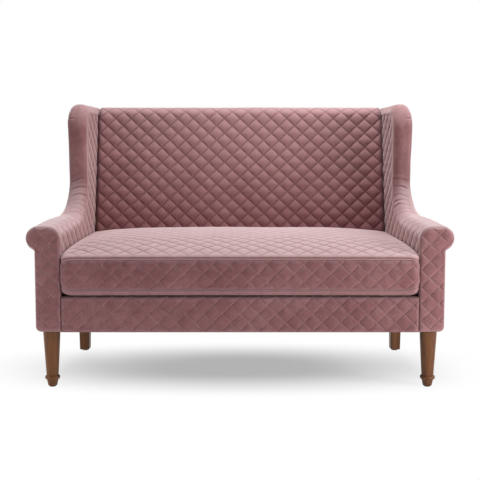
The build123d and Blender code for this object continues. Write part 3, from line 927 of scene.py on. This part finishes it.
def layCloth(cut):
    low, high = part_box(cut["node"])
    bm = plainGrid(*cut["cuts"])
    for vert in bm.verts:
        x, y = vert.co.x, vert.co.y
        depth = mixed(low.y + cut["margin"], high.y - cut["margin"], y + 0.5)
        half = halfWidth(depth - armFront) + cut["beyond"]
        edge = min(0.5 - abs(x), 0.5 - abs(y))
        drop = cut["drop"](x, y, edge) * ease(0, cut["rim"], edge)
        vert.co = Vector((x * 2 * half, depth, cut["level"] - drop))
    piece = finished(bm, cut["name"], cut["look"], outward=(0, 0, cut["up"]))
    half = halfWidth((low.y + high.y) / 2 - armFront) + cut["cutBeyond"]
    2 * half
    return piece


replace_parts(layCloth(deck), "deck_cover", "deck_pad")
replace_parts(layCloth(dust), "dust_cover")

# the loose seat cushion: quilted top, quilted border, two seams and a rounded underside
seat = {
    "gap": 0.002, "proud": 0.008, "draw": 0.004, "corner": 0.019,
    "seam": 0.4530, "lowSeam": 0.346, "bottom": 0.3267, "under": 0.013,
    "crown": 0.0425, "crownEnds": 0.5, "lip": 0.0040, "topEdge": 0.0055, "rearEdge": 0.032,
    "pinch": 0.20, "pinchReach": 0.018, "pinchLevel": 0.39,
    "crossing": 0.0115, "borderCrossing": 0.345, "puff": 0.0056, "borderPuff": 0.0038, "bulge": 0.005,
    "allowance": 0.0085, "firstRow": 0.0034, "borderEdge": 0.004, "borderStep": 0.0032,
    "rows": 51, "turns": 8, "weltStep": 0.006, "weltCuts": 16,
    "zipWide": 0.010, "zipHigh": 0.006, "zipDeep": 0.0068, "zipFade": 0.016,
}
seatFront = armFront - seat["proud"]
seatRear = armFront + backDepth(seat["seam"], sofa["backThick"]) - seat["gap"]
seatMiddle = (seatFront + seatRear) / 2


def seatHalf(y):
    return halfWidth(y - armFront) - seat["gap"]


def seatShift(x, y, level):
    # the front drawn in between its corners, and the rear leaning with the back
    run = (y - seatFront) / (seatRear - seatFront)
    drawn = seat["draw"] * (1 - (x / seatHalf(y)) ** 2) * (1 - run)
    return y + drawn + (level - seat["seam"]) * tanLean * run


def crown(x, y):
    across = max(-1.0, min(1.0, x / seatHalf(y)))
    along = (y - seatMiddle) / (seatRear - seatFront) * 2
    rise = max(0.0, 1 - along * along) ** 0.85 if along < 0 else 1 + 0.1 * along
    return (seat["crown"] - seat["topEdge"]) * (1 - (1 - seat["crownEnds"]) * abs(across) ** 4) * rise


def rimRise(x, y):
    # how far the edge of the top stands above its level at the front
    return crown(x, y) - turnedEdge(seatRear - y, seat["rearEdge"])


def pinched(spot, level):
    # the corners of the cushion are drawn towards its mid level
    fromSide = (seatHalf(spot[1]) - abs(spot[0])) * cosTurn
    fromEnd = min(spot[1] - seatFront, seatRear - spot[1])
    share = math.exp(-((max(0.0, fromSide) + max(0.0, fromEnd)) / seat["pinchReach"]) ** 2)
    return level + (seat["pinchLevel"] - level) * seat["pinch"] * share


def seatInside(x, y):
    # distance in from the rounded outline of the cushion, and the way out to it
    fromSide = (seatHalf(y) - abs(x)) * cosTurn
    fromEnd = min(y - seatFront, seatRear - y)
    radius = seat["corner"]
    if fromSide < radius and fromEnd < radius:
        return radius - math.hypot(radius - fromSide, radius - fromEnd)
    return min(fromSide, fromEnd)


def makeSeatTop():
    wide = seatHalf(seatFront)
    origin = (seat["crossing"], seatFront + seat["proud"])
    bm = quiltGrid((-wide, seatFront), (wide, seatRear), origin, cuts=9)
    for side in (-1, 1):
        trim(bm, (side * wide, seatFront, 0), (side, tanTurn, 0))
    trimToShape(bm, lambda x, y: -seatInside(x, y))
    seam = keepFlat(bm, origin)
    share = bm.verts.layers.float["sewn"]
    edge = seat["topEdge"]
    for vert in bm.verts:
        x, y = vert.co.x, vert.co.y
        inside = max(0.0, seatInside(x, y))
        forward = ease(0.05, 0.45, seatRear - y)    # the quilting is shallower towards the rear, and its channels less darkened
        vert[share] = ease(0.001, 0.010, inside) * ease(0.004, 0.030, seatRear - y)
        vert[share] *= mixed(0.4, 1.0, forward)
        # painted shade along the rim of the top
        vert[seam] = inside + 0.0018
        swell = seat["puff"] * (puff(x - origin[0], y - origin[1], 47.0) - 0.6) * ease(0.008, 0.040, inside)
        swell *= mixed(0.3, 1.0, forward)
        swell += 0.002 * noise.noise((x * 4, y * 5, 9.0)) * ease(0.0, 0.06, inside)
        level = seat["seam"] + seat["lip"] + edge - turnedEdge(inside, edge) + rimRise(x, y) + swell
        level = pinched((x, y), level)
        vert.co = Vector((x, seatShift(x, y, level), level))
    rim = [edge for edge in bm.edges if edge.is_boundary]
    for vert in bmesh.ops.extrude_edge_only(bm, edges=rim)["geom"]:
        if isinstance(vert, bmesh.types.BMVert):    # the seam allowance goes in behind the band
            inward = Vector((-vert.co.x, seatMiddle - vert.co.y)) / 60
            vert.co += Vector((inward.x * 0.3, inward.y * 0.6, -seat["allowance"]))
    return bm


def seatOutline(step):
    front, rear = seatHalf(seatFront), seatHalf(seatRear)
    corners = [(-front, seatFront), (front, seatFront), (rear, seatRear), (-rear, seatRear)]
    path = roundedPath(corners, [seat["corner"]] * 4, step, closed=True)
    middle = Vector((0, seatMiddle))
    return [(spot, normal if normal.dot(spot - middle) > 0 else -normal) for spot, normal in path]


def makeSeatBorder():
    outline = seatOutline(seat["borderStep"])
    count, rows = len(outline), seat["rows"]
    lengths = [0.0]
    for k in range(count):
        lengths.append(lengths[-1] + (outline[(k + 1) % count][0] - outline[k][0]).length)
    turns = [math.radians(90 * k / seat["turns"]) for k in range(1, seat["turns"] + 1)]
    columns = rows + len(turns) - 1
    zipLow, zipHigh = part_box("zip_tape")
    bm = plainGrid(count, columns)
    flat, seams = {}, {}
    for vert in bm.verts:
        index = round((vert.co.x + 0.5) * count)
        column = round((0.5 - vert.co.y) * columns)
        spot, normal = outline[index % count]
        flatU = outline[0][0].x + lengths[index] - seat["crossing"]
        if column < rows:    # down the border
            share = column / (rows - 1)
            first = seat["seam"] - seat["firstRow"] + rimRise(spot.x, spot.y)
            level = mixed(first, seat["lowSeam"], share)
            flatV = level - seat["borderCrossing"]
            front = max(0.0, -normal.y)
            edge = min(share, 1 - share) * (first - seat["lowSeam"])
            # painted shade and painted sheen along both seams, the sheen mostly along the lower one
            near = edge + (0.0012 if share > 0.5 else 0.0040)
            if spot.y < seatFront + seat["corner"]:    # painted sheen runs round the front corners too
                near = mixed(near, 0.0045, ease(0.55, 0.95, abs(normal.x)))
            sewn = mixed(0.6, 1.0, front) * ease(0.0, 0.012, edge)
            besideZip = abs(spot.x) - zipHigh.x if normal.y > 0.7 else 1.0
            if besideZip < seat["zipFade"]:
                sewn *= ease(0.010, 0.030, abs(level - (zipLow.z + zipHigh.z) / 2))
            bow = seat["bulge"] * math.sin(math.pi * share) ** 0.7
            bow += seat["borderPuff"] * (puff(flatU, flatV, 53.0) - 0.6) * sewn
            bow -= turnedEdge(edge, seat["borderEdge"])
            bow -= mixed(0.002, 0.004, front)
            x, y = spot.x + normal.x * bow, spot.y + normal.y * bow
            high = seat["zipHigh"]
            if besideZip < seat["zipWide"] and zipLow.z - high < level < zipHigh.z + high:
                y -= seat["zipDeep"]    # the zip lies in a hollow
        else:                # round under the cushion
            angle = turns[column - rows]
            level = seat["lowSeam"] - (seat["lowSeam"] - seat["bottom"]) * math.sin(angle)
            flatV = level - seat["borderCrossing"]
            inset = seat["under"] * (1 - math.cos(angle)) + 0.003 - 0.002 * math.sin(angle * 2)
            near = seat["under"] * angle
            x, y = spot.x - normal.x * inset, spot.y - normal.y * inset
        flat[vert.index], seams[vert.index] = (flatU, flatV), near
        level = pinched(spot, level)
        vert.co = Vector((x, seatShift(spot.x, y, level), level))
    keepFlat(bm, flat=flat, seams=seams)
    bmesh.ops.remove_doubles(bm, verts=bm.verts, dist=1e-5)
    lowRing = [edge for edge in bm.edges if edge.is_boundary
               and all(v.co.z < seat["lowSeam"] - 0.005 for v in edge.verts)]
    bmesh.ops.contextual_create(bm, geom=lowRing)
    return bm


def rounded(value, power):
    return math.copysign(abs(value) ** power, value)


topWelt = {"level": seat["seam"] - 0.0001, "size": (0.0044, 0.0029), "outset": -0.0046,
           "square": 0.8, "follow": 1.0}    # a flat band that follows the crown
lowWelt = {"level": seat["lowSeam"], "size": (0.0026, 0.0026), "outset": -0.0022,
           "square": 1.0, "follow": 0.0}    # a round cord


def makeWelt(cut, name, look):
    outline = seatOutline(seat["weltStep"])
    count = len(outline)
    bm = plainGrid(count, seat["weltCuts"])
    for vert in bm.verts:
        spot, normal = outline[round((vert.co.x + 0.5) * count) % count]
        angle = 2 * math.pi * (vert.co.y + 0.5)
        reach = cut["outset"] + cut["size"][0] * rounded(math.cos(angle), cut["square"])
        y = spot.y + normal.y * reach
        ring = pinched(spot, cut["level"] + cut["follow"] * rimRise(spot.x, spot.y))
        height = ring + cut["size"][1] * rounded(math.sin(angle), cut["square"])
        vert.co = Vector((spot.x + normal.x * reach, seatShift(spot.x, y, ring), height))
    bmesh.ops.remove_doubles(bm, verts=bm.verts, dist=1e-5)
    return padded(bm, name, look, body="cushion")


cover = makeSeatTop()
border = makeSeatBorder()
for face in border.faces:
    face.material_index = 2 if len(face.verts) > 4 else 1    # the base of the cover is plain
carry = meshOf(border, "seatBorderPart")
cover.from_mesh(carry)
bpy.data.meshes.remove(carry)
seatCushion = padded(cover, "seatCushion", seatVelvet, body="cushion")
for finish in (borderVelvet, plainVelvet):
    seatCushion.data.materials.append(finish)
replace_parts(seatCushion, "cushion_cover", "cushion_foam")
welts = [makeWelt(topWelt, "seatTopWelt", weltVelvet), makeWelt(lowWelt, "seatLowWelt", plainVelvet)]

# the filling blows the cover up between its seams: a coarse copy is simulated and its movement carried over
filling = {"voxel": 0.007, "pressure": 4.0, "frames": 20, "cap": 0.0045, "held": 0.018, "beside": 0.014,
           "base": 0.004, "nearest": 5, "soften": 0.001}


def spotTree(spots):
    tree = kdtree.KDTree(len(spots))
    for index, spot in enumerate(spots):
        tree.insert(spot, index)
    tree.balance()
    return tree


def held(spot, sewnAt):
    # sewn at the welts, and pressed against the deck, the arms and the back
    if sewnAt.find(spot)[2] < filling["held"] or spot.z < seat["bottom"] + filling["base"]:
        return True
    rear = seatRear + (spot.z - seat["seam"]) * tanLean
    return seatHalf(spot.y) - abs(spot.x) < filling["beside"] or rear - spot.y < filling["beside"]


def swellByFilling(piece):
    shell = piece.data.copy()
    body = placed("filling", shell)
    remesh = body.modifiers.new("remesh", "REMESH")
    remesh.mode, remesh.voxel_size = "VOXEL", filling["voxel"]
    coarse = bpy.data.meshes.new_from_object(body.evaluated_get(bpy.context.evaluated_depsgraph_get()))
    body.modifiers.clear()
    body.data = coarse
    sewnAt = spotTree([v.co for welt in welts for v in welt.data.vertices])
    rest = [v.co.copy() for v in coarse.vertices]
    fixed = [index for index, spot in enumerate(rest) if held(spot, sewnAt)]
    body.vertex_groups.new(name="held").add(fixed, 1.0, "REPLACE")
    cloth = body.modifiers.new("cloth", "CLOTH")
    cloth.settings.vertex_group_mass = "held"
    cloth.settings.use_pressure = True
    cloth.settings.uniform_pressure_force = filling["pressure"]
    cloth.settings.effector_weights.gravity = 0
    cloth.point_cache.frame_end = filling["frames"]
    for step in range(1, filling["frames"] + 1):
        scene.frame_set(step)
    blown = body.evaluated_get(bpy.context.evaluated_depsgraph_get()).data
    moves = [v.co - spot for v, spot in zip(blown.vertices, rest)]
    near = spotTree(rest)
    for vert in piece.data.vertices:
        total, weight = Vector(), 0.0
        for spot, index, away in near.find_n(vert.co, filling["nearest"]):
            total += moves[index] / (away + filling["soften"])
            weight += 1 / (away + filling["soften"])
        move = total / weight
        if move.length > 1e-6:
            vert.co += move.normalized() * filling["cap"] * math.tanh(move.length / filling["cap"])
    print("filling:", len(rest), "points,", round(max(m.length for m in moves) * 1000, 1), "mm at most")
    bpy.data.objects.remove(body)
    for mesh in (shell, coarse):
        bpy.data.meshes.remove(mesh)
    scene.frame_set(1)


swellByFilling(seatCushion)
print("cushion done")

# floor, light and camera
studio = {"floor": 4.0, "floorDrop": 0.0005, "world": 0.08,
          "shadowMiddle": (0, 0.18, 0), "shadowSqueeze": (1, 2.6, 1), "shadowFade": (0.25, 1.15),
          "clear": 0.38,
          "distance": 3.304, "height": 0.929, "pitch": 5.715, "shift": -0.05, "lens": 74.1, "sensor": 36.0}
lamps = {  # place, aim, size in metres, watts
    "highLamp": ((0.05, 0.4, 5.0), (0.05, 0.0, 0.0), (3.0, 1.3), 164.0),
    "topLamp": ((0.5, 0.0, 2.0), (0.1, 0.0, 0.0), (0.5, 0.4), 6.4),
    "sideLamp": ((2.5, -1.2, 1.2), (0.0, -0.2, 0.5), (0.9, 0.9), 27.0),
    "keyLamp": ((1.7, -1.3, 0.42), (0.0, -0.4, 0.35), (0.6, 0.5), 6.2),
    "fillLamp": ((-2.2, -1.0, 0.6), (0.0, -0.4, 0.35), (0.8, 0.6), 7.8),
    "rearLamp": ((-1.4, 3.0, 1.4), (0.0, 0.2, 0.5), (1.4, 1.0), 19.0),
}


def makeFloor():
    bm = bmesh.new()
    bmesh.ops.create_grid(bm, x_segments=8, y_segments=8, size=studio["floor"])
    bmesh.ops.translate(bm, vec=(0, 0, -studio["floorDrop"]), verts=bm.verts)
    floor = placed("floor", meshOf(bm, "floor"))
    look = Finish("paleFloor")
    place = look.node("TexCoord", out="Object")
    squeezed = look.node("Mapping", inputs={"Vector": place, "Location": studio["shadowMiddle"],
                                            "Scale": studio["shadowSqueeze"]})
    away = look.node("VectorMath", {"operation": "LENGTH"}, {0: squeezed}, out="Value")
    far = look.span(away, *studio["shadowFade"], studio["clear"], smooth=True)
    ground = look.node("BsdfDiffuse", inputs={"Color": (0.93, 0.93, 0.93, 1)})
    white = look.node("Emission", inputs={"Color": (1, 1, 1, 1), "Strength": 1.0})
    look.output(look.node("MixShader", inputs={0: far * look.direct(), 1: ground, 2: white}))
    floor.data.materials.append(look.material)


def makeLamp(name, place, aim, size, power):
    lamp = bpy.data.lights.new(name, "AREA")
    lamp.shape, lamp.energy = "RECTANGLE", power
    lamp.size, lamp.size_y = size
    holder = placed(name, lamp)
    holder.location = place
    holder.rotation_euler = (Vector(aim) - Vector(place)).to_track_quat("-Z", "Y").to_euler()


makeFloor()
for lampName, setting in lamps.items():
    makeLamp(lampName, *setting)
sky = Finish("studioWorld", bpy.data.worlds)
soft = sky.node("Background", inputs={"Color": (1, 1, 1, 1), "Strength": studio["world"]})
white = sky.node("Background", inputs={"Color": (1, 1, 1, 1), "Strength": 1.0})
sky.output(sky.node("MixShader", inputs={0: sky.direct(), 1: soft, 2: white}), "World")
scene.world = sky.material

lens = bpy.data.cameras.new("camera")
lens.lens, lens.sensor_width, lens.shift_y = studio["lens"], studio["sensor"], studio["shift"]
camera = placed("camera", lens)
camera.location = (0.0, armFront - studio["distance"], studio["height"])
camera.rotation_euler = (math.radians(90 - studio["pitch"]), 0, 0)
scene.camera = camera
